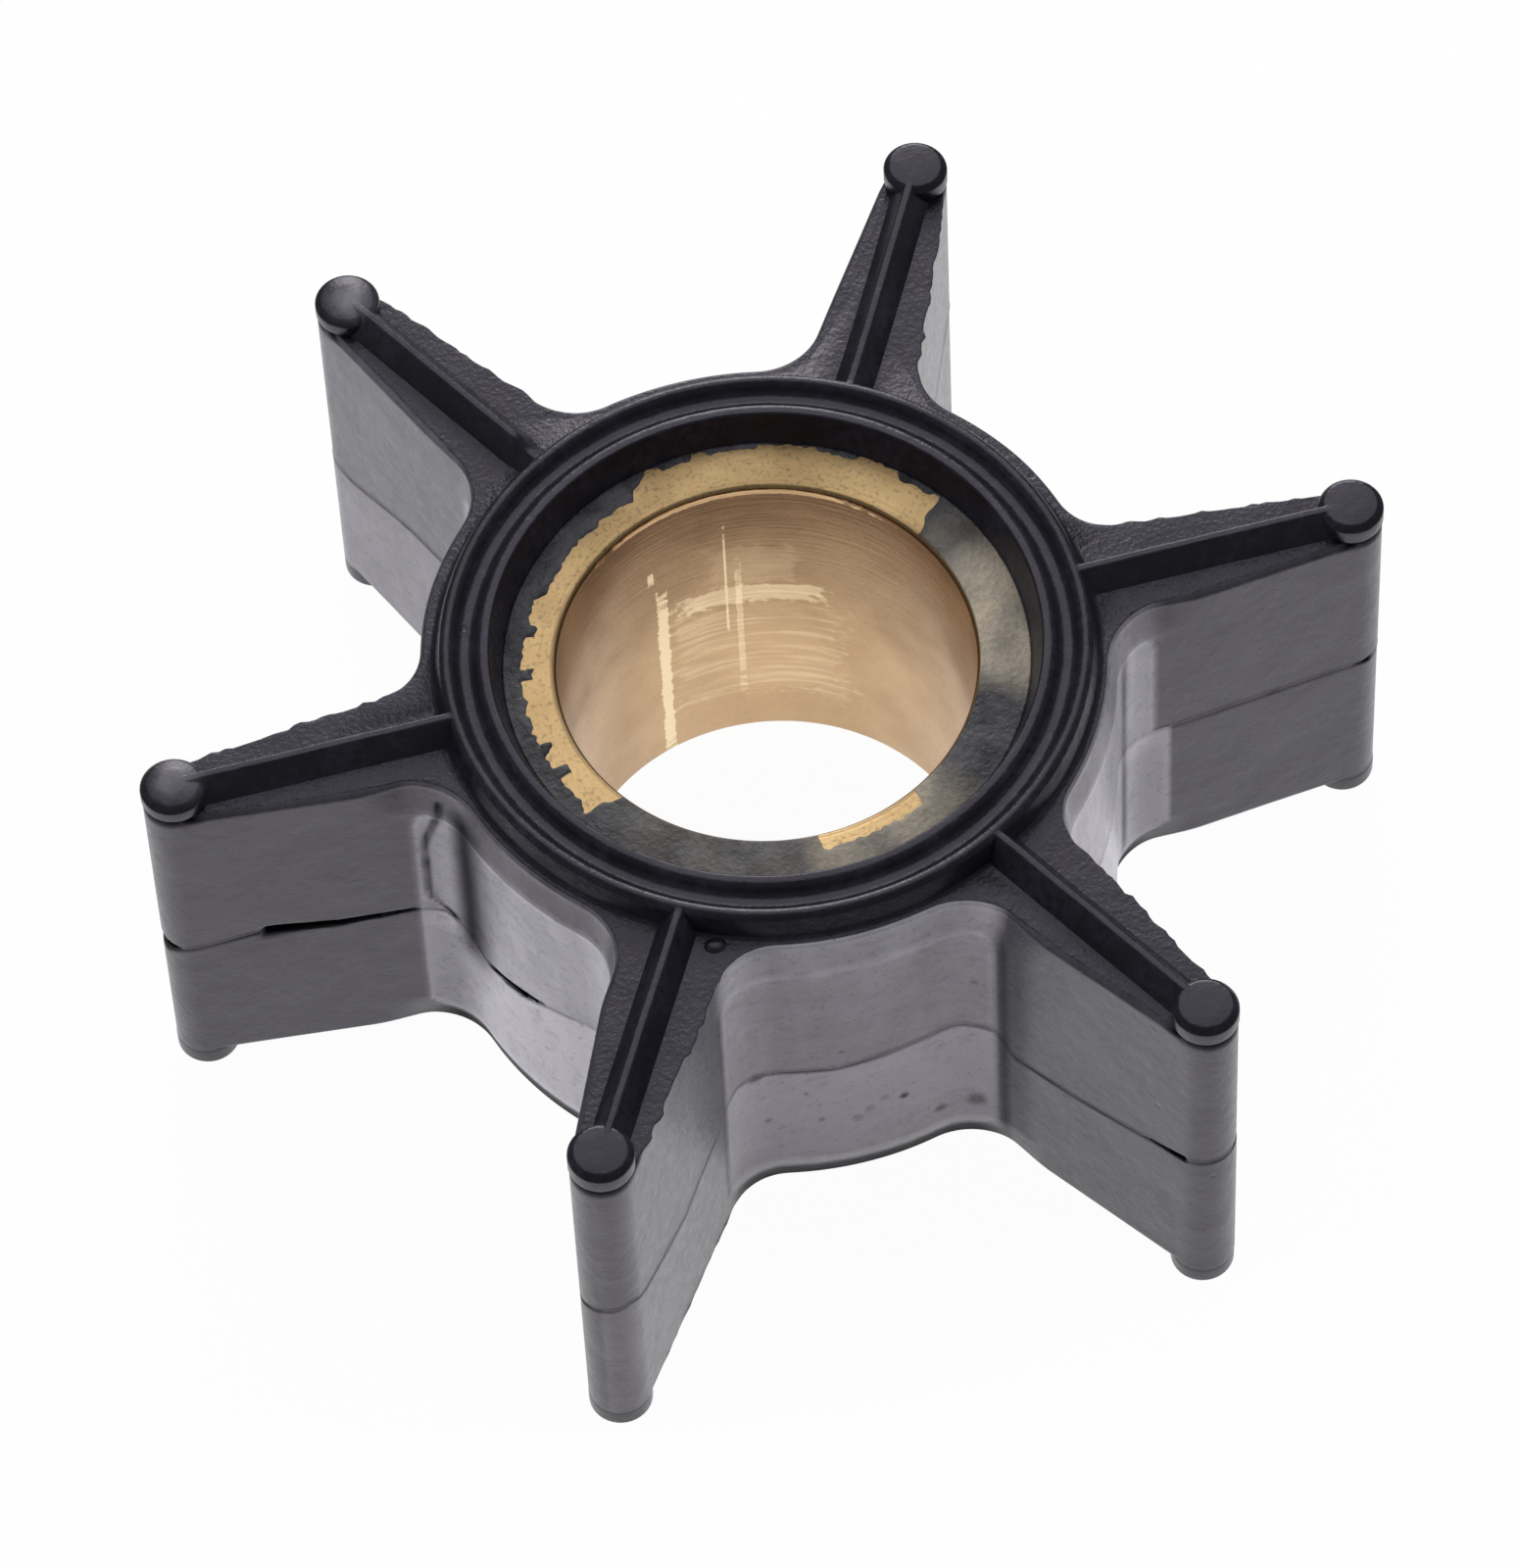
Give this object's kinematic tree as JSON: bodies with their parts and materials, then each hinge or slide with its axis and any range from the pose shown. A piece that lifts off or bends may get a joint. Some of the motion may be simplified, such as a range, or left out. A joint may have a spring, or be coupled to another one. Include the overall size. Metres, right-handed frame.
{
  "type": "pump impeller",
  "caption": "Flexible rubber impeller for a marine water pump: a hub with straight radial blades, raised sealing ribs and tip buttons, moulded over a plain brass bushing.",
  "frame": {"origin": "centre of the bore at mid-height, which is also the middle of the outer box", "axes": "+Z along the shaft's axis, towards the end where the bushing is sunk deeper; +X along the middle of a blade"},
  "size_m": [0.058, 0.0506, 0.0222],
  "materials": {
    "rubber": "black moulded rubber with a satin skin and a little flash at the mould's edges",
    "brass": "turned brass, dulled, with smears of rubber on its end face"
  },
  "bodies": {
    "root": {"rubber_impeller": "rubber", "brass_bushing": "brass"}
  },
  "joints": []
}
